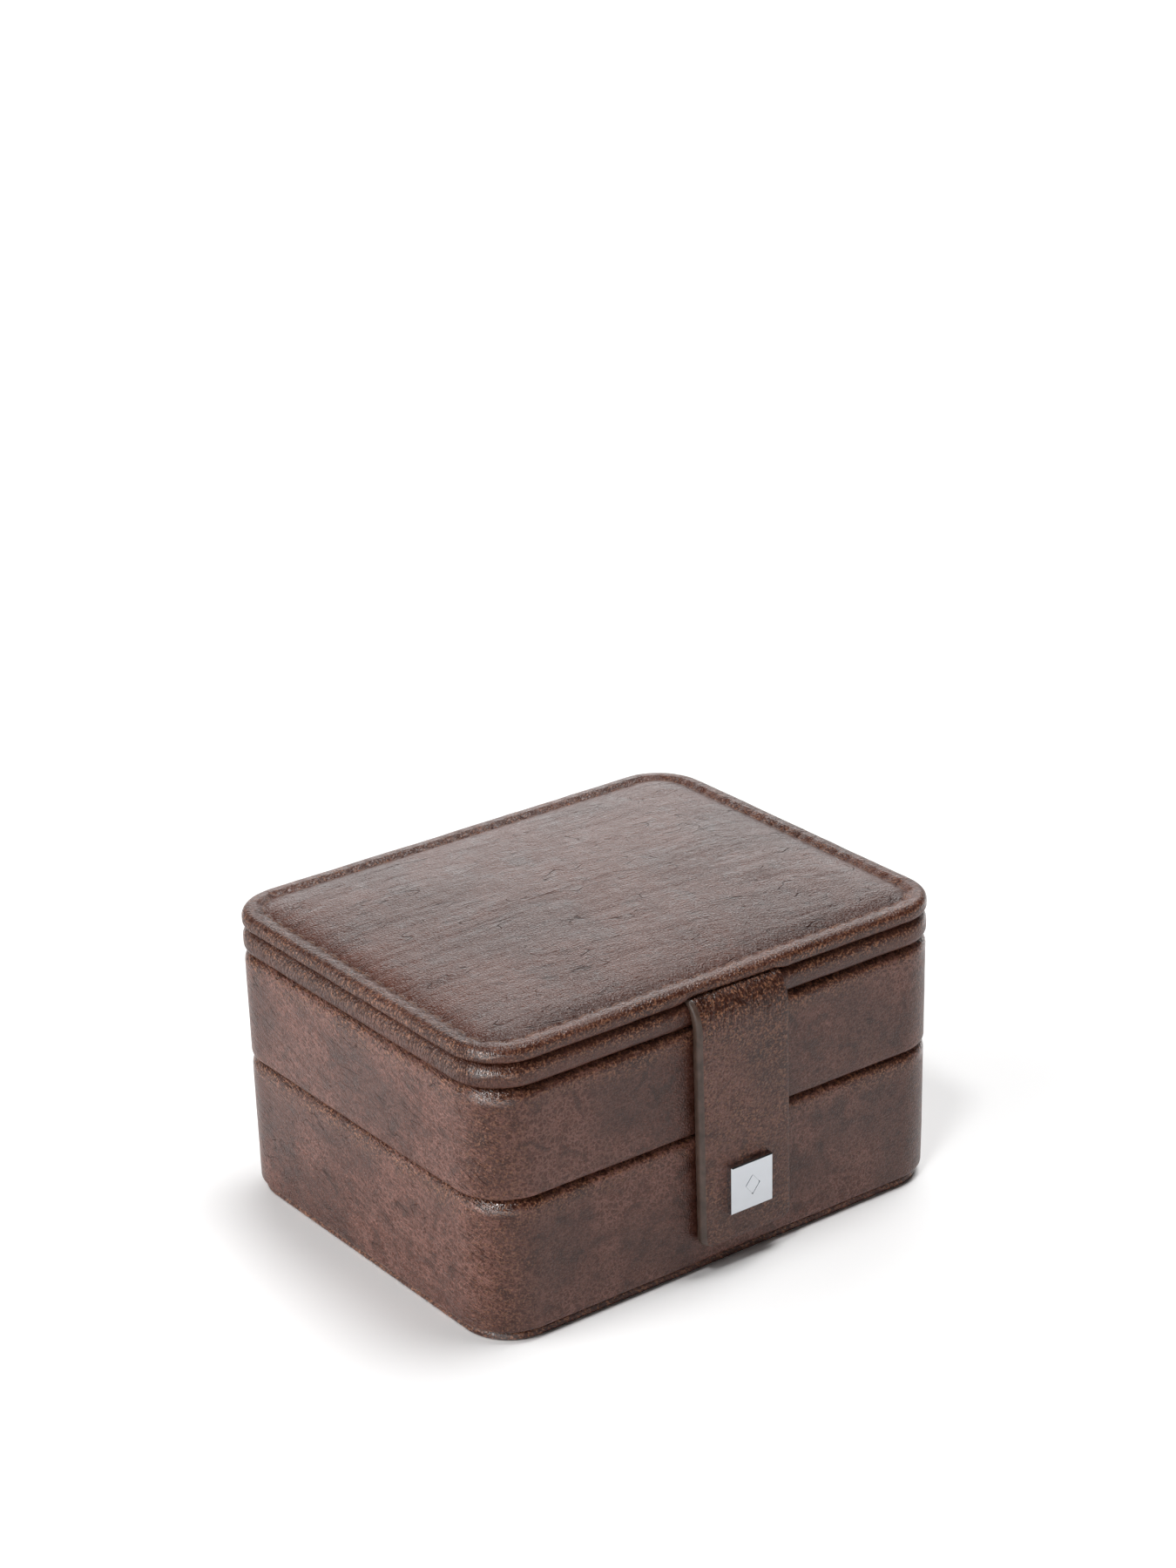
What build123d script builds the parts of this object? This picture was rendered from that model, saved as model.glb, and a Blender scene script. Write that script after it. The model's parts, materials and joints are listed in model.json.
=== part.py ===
"""A two-tier leather jewellery case: base tray, hinged upper tray, padded lid and magnetic front strap.

Millimetres, +Z up, +X along the front, -Y towards the front (the strap side), origin at the middle of the
underside. The lid turns on the leather spine at the back of the upper tray, the upper tray on the same spine
at the back of the base tray, and the strap flexes where it leaves the lid.
"""

import os

from build123d import *

# Outline shared by the trays and the lid
case_width = 150.0
case_depth = 120.0
corner_radius = 15.0
least_radius = 3.0

# Heights of the layers, from the table up
base_top = 3.0
lower_top = 40.7
layer_gap = 0.3
upper_low = lower_top + layer_gap
upper_top = 71.3
panel_low = upper_top + layer_gap
panel_top = 78.6
roll_top = 83.0
crown_top = 86.8

# Sheet and board thicknesses
skin = 1.2
board = 3.8
liner = 1.0
floor_board = 2.5
floor_liner = 0.8
inner_inset = skin + board + liner

# Leather edges
base_inset = 1.3
base_round = 1.2
tray_top_round = 3.0
tray_bottom_round = 2.2
panel_round = 3.0
roll_round = 2.15
leather_lip = 1.0
inside_turn = 9.0

# Interior fittings
divider_thickness = 3.0
divider_round = 1.2
divider_below_rim = 4.0
upper_divider_x = 22.0
lower_divider_x = 23.0
lower_divider_y = 6.0
roll_count = 6
roll_pitch = 16.8
roll_width = 14.5
roll_height = 15.0
roll_left = -67.5
roll_clearance = 0.3

# Lid panel, mirror and cover
panel_skin = 1.0
panel_margin = 12.0
glue_margin = 15.0
mirror_width = 97.0
mirror_depth = 67.0
mirror_thickness = 1.6
mirror_radius = 5.0
mirror_slack = 0.2
bezel_band = 3.5
bezel_lip = 1.5
bezel_proud = 0.6
bezel_round = 0.4
cover_board = 2.2
stitch_inset = 5.8
crown_inset = 6.3
crown_round = 4.0
thread_radius = 0.4
stitch_groove = 0.9
stitch_clearance = 0.05
slot_overrun = 3.0

# Front strap and its square plate
strap_x = 3.0
strap_width = 30.0
strap_layer = 1.6
strap_low = 9.2
strap_gap = 0.5
strap_corner = 2.0
strap_axis_proud = 1.0
strap_axis_drop = 0.2
strap_axis_y = -case_depth / 2 - strap_axis_proud
strap_axis_z = panel_top - strap_axis_drop
strap_fold_radius = 1.2
strap_start = 1.8
root_thickness = 1.0
root_length = 24.0
root_slack = 0.2
plate_side = 13.7
plate_thickness = 2.0
plate_z = 24.2
plate_bevel = 0.3
prong_radius = 0.7
prong_spacing = 8.0
prong_slack = 0.05
mark_width = 5.0
mark_height = 6.0
mark_line = 0.35
mark_depth = 0.25
magnet_radius = 5.0
magnet_thickness = 1.3
keeper_radius = 6.0
keeper_thickness = 1.5

# Leather spine that hinges the tiers
spine_width = 104.0
spine_thickness = 1.2
spine_low = 12.0
spine_y = case_depth / 2 + spine_thickness / 2
tray_axis_z = lower_top + layer_gap / 2
lid_axis_z = upper_top + layer_gap / 2
fold_radius = spine_thickness / 2
fold_neck = 0.6
fold_room = 0.95
spine_tuck = 18.0
spine_bend = 1.0


def slab(inset, low, high, mode=Mode.ADD):
    """Adds or cuts a slab with the case's rounded outline drawn in by inset."""
    with BuildSketch(Plane.XY.offset(low)) as outline:
        RectangleRounded(case_width - 2 * inset, case_depth - 2 * inset, corner_radius - inset)
    extrude(outline.sketch, amount=high - low, mode=mode)


def window(width, depth, radius, low, high, mode=Mode.SUBTRACT):
    """Adds or cuts a rounded rectangular block centred on the case."""
    with BuildSketch(Plane.XY.offset(low)) as outline:
        RectangleRounded(width, depth, radius)
    extrude(outline.sketch, amount=high - low, mode=mode)


def ring(outside, inside, low, high, mode=Mode.ADD):
    """Adds or cuts a wall that runs right round the case between two insets."""
    with BuildSketch(Plane.XY.offset(low)) as outline:
        RectangleRounded(*margin(outside))
        RectangleRounded(*margin(inside), mode=Mode.SUBTRACT)
    extrude(outline.sketch, amount=high - low, mode=mode)


def block(x_low, x_high, y_low, y_high, z_low, z_high, mode=Mode.ADD):
    """Adds or cuts a box given by its limits."""
    with Locations(((x_low + x_high) / 2, (y_low + y_high) / 2, (z_low + z_high) / 2)):
        Box(x_high - x_low, y_high - y_low, z_high - z_low, mode=mode)


def margin(inset):
    """Width, depth and corner radius of the case's outline drawn in by inset."""
    return case_width - 2 * inset, case_depth - 2 * inset, max(corner_radius - inset, least_radius)


def keep(made, name):
    """Labels a finished piece and writes its STEP file."""
    made.part.label = name
    export_step(made.part, f"parts/{name}.step")


def make_walls(tier, low, high):
    """The boards and corner blocks that stiffen a tray, inside its leather."""
    core_low = low + leather_lip
    core_high = high - skin
    half_width = case_width / 2 - skin
    half_depth = case_depth / 2 - skin
    straight_x = case_width / 2 - corner_radius
    straight_y = case_depth / 2 - corner_radius
    for side, sign in (("front", -1), ("back", 1)):
        with BuildPart() as side_board:
            y_ends = sorted((sign * half_depth, sign * (half_depth - board)))
            block(-straight_x, straight_x, *y_ends, core_low, core_high)
            if side == "front" and tier == "lower":
                keeper_disc(Mode.SUBTRACT)
        keep(side_board, f"{tier}_{side}_board")
    for side, sign in (("left", -1), ("right", 1)):
        with BuildPart() as end_board:
            x_ends = sorted((sign * half_width, sign * (half_width - board)))
            block(*x_ends, -straight_y, straight_y, core_low, core_high)
        keep(end_board, f"{tier}_{side}_board")
    for depth_name, sign_y in (("front", -1), ("back", 1)):
        for width_name, sign_x in (("left", -1), ("right", 1)):
            with BuildPart() as corner:
                ring(skin, skin + board, core_low, core_high)
                x_ends = sorted((sign_x * straight_x, sign_x * case_width))
                y_ends = sorted((sign_y * straight_y, sign_y * case_depth))
                block(*x_ends, *y_ends, core_low, core_high, Mode.INTERSECT)
            keep(corner, f"{tier}_{depth_name}_{width_name}_corner")


def make_tray_leather(tier, low, high):
    """The leather sleeve round a tray: outside, over the rim, down inside, and a lip underneath."""
    with BuildPart() as leather:
        slab(0, low, high)
        fillet(leather.edges().group_by(Axis.Z)[-1], radius=tray_top_round)
        fillet(leather.edges().group_by(Axis.Z)[0], radius=tray_bottom_round)
        slab(inner_inset, low, high, Mode.SUBTRACT)
        slab(skin + board, low, high - inside_turn, Mode.SUBTRACT)
        ring(skin, skin + board, low + leather_lip, high - skin, Mode.SUBTRACT)
    keep(leather, f"{tier}_tray_leather")


def make_floor(tier, floor_low, high):
    """A tray's floor board, the suede on it, and the suede strip round its walls. Gives the floor's height."""
    suede_low = floor_low + floor_board
    suede_high = suede_low + floor_liner
    with BuildPart() as floor:
        slab(skin + board, floor_low, suede_low)
    keep(floor, f"{tier}_floor_board")
    with BuildPart() as floor_suede:
        slab(skin + board, suede_low, suede_high)
    keep(floor_suede, f"{tier}_floor_lining")
    with BuildPart() as wall_suede:
        ring(skin + board, inner_inset, suede_high, high - inside_turn)
    keep(wall_suede, f"{tier}_wall_lining")
    return suede_high


def make_divider(name, x_low, x_high, y_low, y_high, z_low, z_high):
    """A suede-covered board that stands between two compartments, with its top edges eased."""
    with BuildPart() as divider:
        block(x_low, x_high, y_low, y_high, z_low, z_high)
        along = Axis.X if x_high - x_low > y_high - y_low else Axis.Y
        fillet(divider.edges().filter_by(along).group_by(Axis.Z)[-1], radius=divider_round)
    keep(divider, name)


def keeper_disc(mode=Mode.ADD):
    """The steel disc let into the front board of the base tray, or its pocket."""
    face_y = skin - case_depth / 2
    with BuildSketch(Plane.XZ.offset(-face_y)) as disc:
        with Locations((strap_x, plate_z)):
            Circle(keeper_radius)
    extrude(disc.sketch, amount=-keeper_thickness, mode=mode)


def make_base():
    """The leather-covered bottom board."""
    with BuildPart() as base_leather:
        slab(base_inset, 0, base_top)
        fillet(base_leather.edges().group_by(Axis.Z)[-1], radius=base_round)
        fillet(base_leather.edges().group_by(Axis.Z)[0], radius=base_round)
        slab(base_inset + floor_liner, floor_liner, base_top - floor_liner, Mode.SUBTRACT)
        window(*margin(glue_margin), base_top - floor_liner, base_top)
    keep(base_leather, "base_leather")
    with BuildPart() as base_board:
        slab(base_inset + floor_liner, floor_liner, base_top - floor_liner)
        window(*margin(glue_margin), base_top - floor_liner, base_top, Mode.ADD)
    keep(base_board, "base_board")


def make_lower_tray():
    """The base tray, glued to the bottom board, with three dividers."""
    make_walls("lower", base_top, lower_top)
    make_tray_leather("lower", base_top, lower_top)
    floor_z = make_floor("lower", base_top, lower_top)
    with BuildPart() as keeper:
        keeper_disc()
    keep(keeper, "closure_keeper")
    inner_x = case_width / 2 - inner_inset
    inner_y = case_depth / 2 - inner_inset
    top_z = lower_top - divider_below_rim
    half = divider_thickness / 2
    make_divider("lower_divider_long", -inner_x, inner_x, lower_divider_y - half, lower_divider_y + half,
                 floor_z, top_z)
    for name, x in (("left", -lower_divider_x), ("right", lower_divider_x)):
        make_divider(f"lower_divider_{name}", x - half, x + half, -inner_y, lower_divider_y - half,
                     floor_z, top_z)


def make_ring_rolls(floor_z, right_x):
    """Soft rolls that hold rings between them: half-round tops on a flat foot."""
    radius = roll_width / 2
    for number in range(roll_count):
        y = (number - (roll_count - 1) / 2) * roll_pitch
        with BuildPart() as roll:
            with BuildSketch(Plane.YZ.offset(roll_left)):
                with BuildLine():
                    Line((y - radius, floor_z), (y + radius, floor_z))
                    Line((y + radius, floor_z), (y + radius, floor_z + roll_height - radius))
                    CenterArc((y, floor_z + roll_height - radius), radius, 0, 180)
                    Line((y - radius, floor_z + roll_height - radius), (y - radius, floor_z))
                make_face()
            extrude(amount=right_x - roll_left)
        keep(roll, f"ring_roll_{number + 1}")


def make_upper_tray():
    """The upper tray: ring rolls on the left and two compartments on the right."""
    make_walls("upper", upper_low, upper_top)
    make_tray_leather("upper", upper_low, upper_top)
    with BuildPart() as underside:
        slab(skin + board, upper_low, upper_low + floor_liner)
    keep(underside, "upper_underside")
    floor_z = make_floor("upper", upper_low + floor_liner, upper_top)
    inner_x = case_width / 2 - inner_inset
    inner_y = case_depth / 2 - inner_inset
    top_z = upper_top - divider_below_rim
    half = divider_thickness / 2
    make_divider("upper_divider_long", upper_divider_x - half, upper_divider_x + half, -inner_y, inner_y,
                 floor_z, top_z)
    make_divider("upper_divider_cross", upper_divider_x + half, inner_x, -half, half, floor_z, top_z)
    make_ring_rolls(floor_z, upper_divider_x - half - roll_clearance)


def make_lid_panel():
    """The lower half of the lid: a leather-edged board with a suede lining, a mirror and its bezel."""
    core_low = panel_low + panel_skin
    core_high = panel_top - panel_skin
    lining_size = margin(panel_margin)
    bezel_size = (mirror_width + 2 * bezel_band, mirror_depth + 2 * bezel_band, mirror_radius + bezel_band)
    rebate = (mirror_width + 2 * mirror_slack, mirror_depth + 2 * mirror_slack, mirror_radius)
    view = (mirror_width - 2 * bezel_lip, mirror_depth - 2 * bezel_lip, mirror_radius - bezel_lip)
    mirror_low = core_low - floor_liner
    mirror_high = mirror_low + mirror_thickness
    with BuildPart() as panel_leather:
        slab(0, panel_low, panel_top)
        fillet(panel_leather.edges().group_by(Axis.Z)[-1], radius=panel_round)
        fillet(panel_leather.edges().group_by(Axis.Z)[0], radius=panel_round)
        slab(skin, core_low, core_high, Mode.SUBTRACT)
        window(*lining_size, panel_low, core_low)
        window(*margin(glue_margin), core_high, panel_top)
    keep(panel_leather, "lid_panel_leather")
    with BuildPart() as panel_board:
        slab(skin, core_low, core_high)
        window(*margin(glue_margin), core_high, panel_top, Mode.ADD)
        window(*rebate, core_low, mirror_high)
    keep(panel_board, "lid_panel_board")
    with BuildPart() as panel_lining:
        window(*lining_size, panel_low, core_low, Mode.ADD)
        window(*bezel_size, panel_low, core_low)
    keep(panel_lining, "lid_panel_lining")
    with BuildPart() as bezel:
        window(*bezel_size, panel_low - bezel_proud, core_low, Mode.ADD)
        window(*view, panel_low - bezel_proud, core_low)
        window(*rebate, mirror_low, core_low)
        fillet(bezel.edges().group_by(Axis.Z)[0], radius=bezel_round)
    keep(bezel, "mirror_bezel")
    with BuildPart() as mirror:
        window(mirror_width, mirror_depth, mirror_radius, mirror_low, mirror_high, Mode.ADD)
    keep(mirror, "mirror")


def strap_slot(mode):
    """The slot through the cover's turned-in edge that the strap's root lies in."""
    half = strap_width / 2 + root_slack
    block(strap_x - half, strap_x + half, -case_depth / 2 - slot_overrun, -case_depth / 2 + glue_margin,
          panel_top, panel_top + root_thickness, mode)


def spine_slot(mode):
    """The same slot at the back, for the top of the spine."""
    half = spine_width / 2 + root_slack
    block(-half, half, case_depth / 2 - glue_margin, case_depth / 2 + slot_overrun,
          panel_top, panel_top + root_thickness, mode)


def stitch_path():
    """The line of stitches round the lid, just inside its rolled edge."""
    with BuildSketch(Plane.XY.offset(roll_top)) as outline:
        RectangleRounded(*margin(stitch_inset))
    return outline.sketch.faces()[0].outer_wire()


def stitch_ring(radius, drop, mode=Mode.ADD):
    """Sweeps a round section along the stitch line, drop below the top of the roll."""
    path = stitch_line.moved(Location((0, 0, -drop)))
    with BuildSketch(Plane(path.position_at(0), z_dir=path.tangent_at(0))) as section:
        Circle(radius)
    sweep(section.sketch, path=path, mode=mode)


def make_lid_cover():
    """The upper half of the lid: padded leather with a rolled and stitched edge, over foam and a board."""
    board_low = panel_top + root_thickness
    board_top = board_low + cover_board
    core_inset = crown_inset + skin
    with BuildPart() as cover:
        slab(0, panel_top, roll_top)
        fillet(cover.edges().group_by(Axis.Z)[-1], radius=roll_round)
        fillet(cover.edges().group_by(Axis.Z)[0], radius=roll_round)
        stitch_ring(stitch_groove, 0, Mode.SUBTRACT)
        crown(crown_inset, roll_top - stitch_groove, crown_top, crown_round)
        slab(skin, board_low, board_top, Mode.SUBTRACT)
        crown(core_inset, board_top, crown_top - skin, crown_round - skin, Mode.SUBTRACT)
        window(*margin(glue_margin), panel_top, board_low)
        strap_slot(Mode.SUBTRACT)
        spine_slot(Mode.SUBTRACT)
    keep(cover, "lid_cover")
    with BuildPart() as foam:
        crown(core_inset, board_top, crown_top - skin, crown_round - skin)
    keep(foam, "lid_foam")
    with BuildPart() as cover_board_part:
        slab(skin, board_low, board_top)
        window(*margin(glue_margin + spine_tuck), panel_top, board_low, Mode.ADD)
    keep(cover_board_part, "lid_board")
    with BuildPart() as stitching:
        stitch_ring(thread_radius, stitch_groove - thread_radius - stitch_clearance)
    keep(stitching, "lid_stitching")


def crown(inset, low, high, round_, mode=Mode.ADD):
    """Adds or cuts the padded crown: a slab whose top edges are rounded over."""
    made = BuildPart(mode=Mode.PRIVATE)
    with made:
        slab(inset, low, high)
        fillet(made.edges().group_by(Axis.Z)[-1], radius=round_)
    add(made.part, mode=mode)


def make_strap():
    """The front strap: its root in the lid, two leather layers, a magnet and a square metal plate."""
    left = strap_x - strap_width / 2
    right = strap_x + strap_width / 2
    back_y = -case_depth / 2 - strap_gap
    middle_y = back_y - strap_layer
    front_y = middle_y - strap_layer
    strap_high = strap_axis_z - strap_start
    with BuildPart() as root:
        block(left, right, strap_axis_y, strap_axis_y + root_length, panel_top, panel_top + root_thickness)
        with BuildSketch(Plane.YZ.offset(left)):
            with Locations((strap_axis_y, strap_axis_z)):
                Circle(strap_fold_radius)
        extrude(amount=strap_width)
    keep(root, "strap_root")
    with BuildPart() as backing:
        strap_layer_block(backing, left, right, middle_y, back_y, strap_high)
        magnet_disc(middle_y, Mode.SUBTRACT)
    keep(backing, "strap_backing")
    with BuildPart() as face:
        strap_layer_block(face, left, right, front_y, middle_y, strap_high)
        prongs(front_y, middle_y, prong_radius + prong_slack, Mode.SUBTRACT)
    keep(face, "strap_face")
    with BuildPart() as magnet:
        magnet_disc(middle_y, Mode.ADD)
    keep(magnet, "strap_magnet")
    make_plate(front_y, middle_y)


def strap_layer_block(layer, left, right, y_low, y_high, high):
    """One layer of the strap, with its lower corners rounded."""
    block(left, right, y_low, y_high, strap_low, high)
    fillet(layer.edges().filter_by(Axis.Y).group_by(Axis.Z)[0], radius=strap_corner)


def magnet_disc(y, mode):
    """The thin disc magnet let into the back of the strap, or its pocket."""
    with BuildSketch(Plane.XZ.offset(-y)) as disc:
        with Locations((strap_x, plate_z)):
            Circle(magnet_radius)
    extrude(disc.sketch, amount=-magnet_thickness, mode=mode)


def prongs(y_low, y_high, radius, mode):
    """The plate's two prongs through the face leather, or their holes."""
    with BuildSketch(Plane.XZ.offset(-y_high)) as pair:
        with Locations((strap_x, plate_z)):
            with GridLocations(prong_spacing, prong_spacing, 2, 1):
                Circle(radius)
    extrude(pair.sketch, amount=y_high - y_low, mode=mode)


def make_plate(front_y, middle_y):
    """The square plate on the strap, bevelled, with a plain engraved gem outline."""
    with BuildPart() as plate:
        with Locations((strap_x, front_y - plate_thickness / 2, plate_z)):
            Box(plate_side, plate_thickness, plate_side)
        chamfer(plate.edges().group_by(Axis.Y)[0], length=plate_bevel)
        with BuildSketch(Plane.XZ.offset(plate_thickness - front_y)):
            with Locations((strap_x, plate_z)):
                gem(mark_width, mark_height)
                gem(mark_width - 2 * mark_line, mark_height - 2 * mark_line, Mode.SUBTRACT)
        extrude(amount=-mark_depth, mode=Mode.SUBTRACT)
        prongs(front_y, middle_y, prong_radius, Mode.ADD)
    keep(plate, "front_plate")


def gem(width, height, mode=Mode.ADD):
    """A plain diamond shape with four straight sides."""
    Polygon((0, -height / 2), (width / 2, 0), (0, height / 2), (-width / 2, 0), mode=mode)


def fold(axis_z, leaf_high):
    """The leather's fold on a hinge axis, with the neck that joins it to the leaf below."""
    half = spine_width / 2
    with BuildSketch(Plane.YZ.offset(-half)) as bead:
        with Locations((spine_y, axis_z)):
            Circle(fold_radius)
    extrude(bead.sketch, amount=spine_width)
    block(-half, half, spine_y - fold_neck / 2, spine_y + fold_neck / 2, leaf_high, axis_z)


def make_spine():
    """The spine at the back: one leather strip, as a leaf on each tier and a fold on each hinge axis."""
    half = spine_width / 2
    back = case_depth / 2
    with BuildPart() as base_leaf:
        block(-half, half, back, back + spine_thickness, spine_low, tray_axis_z - fold_room)
        fold(tray_axis_z, tray_axis_z - fold_room)
    keep(base_leaf, "spine_base_leaf")
    with BuildPart() as tray_leaf:
        block(-half, half, back, back + spine_thickness, tray_axis_z + fold_room, lid_axis_z - fold_room)
        fold(lid_axis_z, lid_axis_z - fold_room)
    keep(tray_leaf, "spine_tray_leaf")
    with BuildPart() as lid_leaf:
        tuck_top = panel_top + root_thickness
        block(-half, half, back, back + spine_thickness, lid_axis_z + fold_room, tuck_top)
        block(-half, half, back - spine_tuck, back, panel_top, tuck_top)
        fillet(lid_leaf.edges().filter_by(Axis.X).group_by(Axis.Z)[-1].sort_by(Axis.Y)[-1], radius=spine_bend)
    keep(lid_leaf, "spine_lid_leaf")


os.makedirs("parts", exist_ok=True)
stitch_line = stitch_path()
make_base()
make_lower_tray()
make_upper_tray()
make_lid_panel()
make_lid_cover()
make_strap()
make_spine()
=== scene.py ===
"""The looks of a leather jewellery case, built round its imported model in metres, in the model's own frame.

Shapes are worked out in millimetres, as rows of points that follow the case's rounded outline, and are
turned into metres when a mesh is made.
"""

import json
import math

import bpy
import numpy as np
from mathutils import Matrix, Vector, noise


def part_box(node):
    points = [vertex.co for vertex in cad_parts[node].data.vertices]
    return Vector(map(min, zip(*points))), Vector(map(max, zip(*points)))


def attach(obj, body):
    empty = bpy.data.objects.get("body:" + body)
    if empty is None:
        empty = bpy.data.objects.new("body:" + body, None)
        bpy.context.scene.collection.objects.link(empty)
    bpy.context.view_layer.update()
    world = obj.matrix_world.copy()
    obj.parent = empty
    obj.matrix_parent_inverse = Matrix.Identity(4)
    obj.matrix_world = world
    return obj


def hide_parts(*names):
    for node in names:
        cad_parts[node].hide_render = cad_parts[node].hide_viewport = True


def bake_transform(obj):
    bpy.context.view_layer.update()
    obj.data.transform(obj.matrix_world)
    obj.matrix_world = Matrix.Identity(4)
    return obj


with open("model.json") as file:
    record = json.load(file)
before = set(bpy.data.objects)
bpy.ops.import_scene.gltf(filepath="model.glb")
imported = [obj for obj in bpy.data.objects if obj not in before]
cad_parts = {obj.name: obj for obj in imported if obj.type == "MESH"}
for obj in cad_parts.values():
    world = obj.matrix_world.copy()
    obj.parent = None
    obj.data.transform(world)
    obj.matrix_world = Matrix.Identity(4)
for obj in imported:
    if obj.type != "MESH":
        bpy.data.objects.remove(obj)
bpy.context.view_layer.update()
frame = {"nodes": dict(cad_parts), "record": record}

MM = 0.001


def span(node):
    """Lowest and highest corners of a CAD node, in millimetres."""
    low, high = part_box(node)
    return np.array(low) / MM, np.array(high) / MM


# Driving sizes, read from the frame
COVER_LOW, COVER_HIGH = span("lid_cover")
HALF_WIDTH = COVER_HIGH[0]
HALF_DEPTH = COVER_HIGH[1]
STRAP_LOW, STRAP_HIGH = span("strap_face")
STRAP_BACK_Y = span("strap_backing")[1][1]
STRAP_X = (STRAP_LOW[0] + STRAP_HIGH[0]) / 2
HINGES = {joint["name"]: joint for joint in frame["record"]["behaviour"]["joints"]}

# The case's outline, and how finely it is divided
CORNER = 15.0
LEAST_CORNER = 0.6
EDGE_X_STEPS = 100
EDGE_Y_STEPS = 76
CORNER_STEPS = 20
COVER_DENSITY = 1.7
PROFILE_STEP = 0.7

# The trays' leather wrap
FOOT_WIDTH = 5.0
FOOT_ROUND = 1.1
RIM_WIDTH = 6.0
RIM_ROUND = 3.0
RIM_INNER_ROUND = 1.4
RIM_DROP = 9.0
SKIN = 0.95
SKIN_OUTSIDE = 1.15
SKIN_ON_RIM = 1.25

# The lid's rolled edges, its stitched valley and its pad
ROLL_HEIGHT = 4.4
ROLL_ROUND = 2.15
PANEL_ROUND = 3.4
PANEL_SKIN = 0.9
STITCH_INSET = 5.8
STITCH_DEPTH = 0.9
STITCH_PITCH = 5.1
STITCH_THICKNESS = 0.34
GATHER_DEPTH = 0.55
PAD_RISE = 3.6
PAD_REACH_X = HALF_WIDTH - STITCH_INSET
PAD_REACH_Y = HALF_DEPTH - STITCH_INSET
SHEET_CELL = 3.0
SHEET_FRAMES = 20

# The strap and the spine
STRAP_ROOT_Y = -42.0
STRAP_ROOT_THICKNESS = 0.9
STRAP_BEND_BACK = 4.8
STRAP_BEND_DROP = 9.0
STRAP_FULL_ANGLE = 62.0
STRAP_ROUND = 1.35
STRAP_CORNER = 2.4
STRAP_LEAN = 0.9
SPINE_ROUND = 0.5
SPINE_TURN = 1.6

# Where handling has burnished the case's corners, past the start of their curve
POLISH_START = 5.0
POLISH_FADE = 4.5


# ---- outlines and profiles


def outline(inset, density=1.0):
    """Points round the case's outline drawn in by inset, from the middle of the back.

    Seen from outside, the points run to the right.
    """
    radius = max(CORNER - inset, LEAST_CORNER)
    edge_x = HALF_WIDTH - inset
    edge_y = HALF_DEPTH - inset
    reach_x = edge_x - radius
    reach_y = edge_y - radius
    turn = np.linspace(0, math.pi / 2, int(CORNER_STEPS * density), endpoint=False)
    runs = []

    def straight(start, end, count):
        steps = np.linspace(0, 1, int(count * density), endpoint=False)
        runs.append(np.outer(1 - steps, start) + np.outer(steps, end))

    def bend(x, y, first):
        angle = first + turn
        runs.append(np.stack([x + radius * np.cos(angle), y + radius * np.sin(angle)], 1))

    straight((0, edge_y), (-reach_x, edge_y), EDGE_X_STEPS / 2)
    bend(-reach_x, reach_y, math.pi / 2)
    straight((-edge_x, reach_y), (-edge_x, -reach_y), EDGE_Y_STEPS)
    bend(-reach_x, -reach_y, math.pi)
    straight((-reach_x, -edge_y), (reach_x, -edge_y), EDGE_X_STEPS)
    bend(reach_x, -reach_y, -math.pi / 2)
    straight((edge_x, -reach_y), (edge_x, reach_y), EDGE_Y_STEPS)
    bend(reach_x, reach_y, 0)
    straight((reach_x, edge_y), (0, edge_y), EDGE_X_STEPS / 2)
    return np.concatenate(runs)


def distances(points):
    """Distance along an open row of points to each point."""
    return np.concatenate([[0], np.cumsum(np.linalg.norm(np.diff(points, axis=0), axis=1))])


def lengths(points):
    """Distance along a closed row of points to each point, and to the first again."""
    return distances(np.vstack([points, points[:1]]))


def rounded(corners, step=PROFILE_STEP, closed=True):
    """A dense profile through (inset, height) corners, each rounded where it has a radius as well."""
    points = [np.array(c[:2], float) for c in corners]
    radii = [c[2] if len(c) > 2 else 0.0 for c in corners]
    count = len(points)
    rows = []
    for i, (here, radius) in enumerate(zip(points, radii)):
        if radius == 0:
            rows.append(here)
            continue
        to_last = points[i - 1] - here
        to_next = points[(i + 1) % count] - here
        to_last /= np.linalg.norm(to_last)
        to_next /= np.linalg.norm(to_next)
        half = math.acos(np.clip(to_last @ to_next, -1, 1)) / 2
        inward = (to_last + to_next) / np.linalg.norm(to_last + to_next)
        middle = here + inward * radius / math.sin(half)
        start = here + to_last * radius / math.tan(half) - middle
        end = here + to_next * radius / math.tan(half) - middle
        sweep = math.pi - 2 * half
        steps = max(4, int(sweep * radius / step * 1.6))
        for k in range(steps + 1):
            before = math.sin(sweep * (1 - k / steps))
            after = math.sin(sweep * k / steps)
            rows.append(middle + (start * before + end * after) / math.sin(sweep))
    if closed:
        rows.append(rows[0])
    dense = [rows[0]]
    for a, b in zip(rows, rows[1:]):
        steps = max(1, int(np.linalg.norm(b - a) / step))
        dense += [a + (b - a) * k / steps for k in range(1, steps + 1)]
    if closed:
        dense.pop()
    keep = [dense[0]]
    for p in dense[1:]:
        if np.linalg.norm(p - keep[-1]) > 1e-4:
            keep.append(p)
    return np.array(keep)


def strip_section(across, half, edge, thickness, steps):
    """A flat strip seen end on: x over its face, round an edge, back behind and round the other edge.

    It gives the x and the height above the strip's middle of each point.
    """
    turn = math.pi * np.arange(1, steps) / steps
    bulge = math.copysign(1, across[-1]) * (half - edge + edge * np.sin(turn))
    face = np.ones(len(across))
    x = np.concatenate([across, bulge, across[::-1], -bulge])
    height = thickness / 2 * np.concatenate([face, np.cos(turn), -face, -np.cos(turn)])
    return x, height


# ---- meshes


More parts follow.
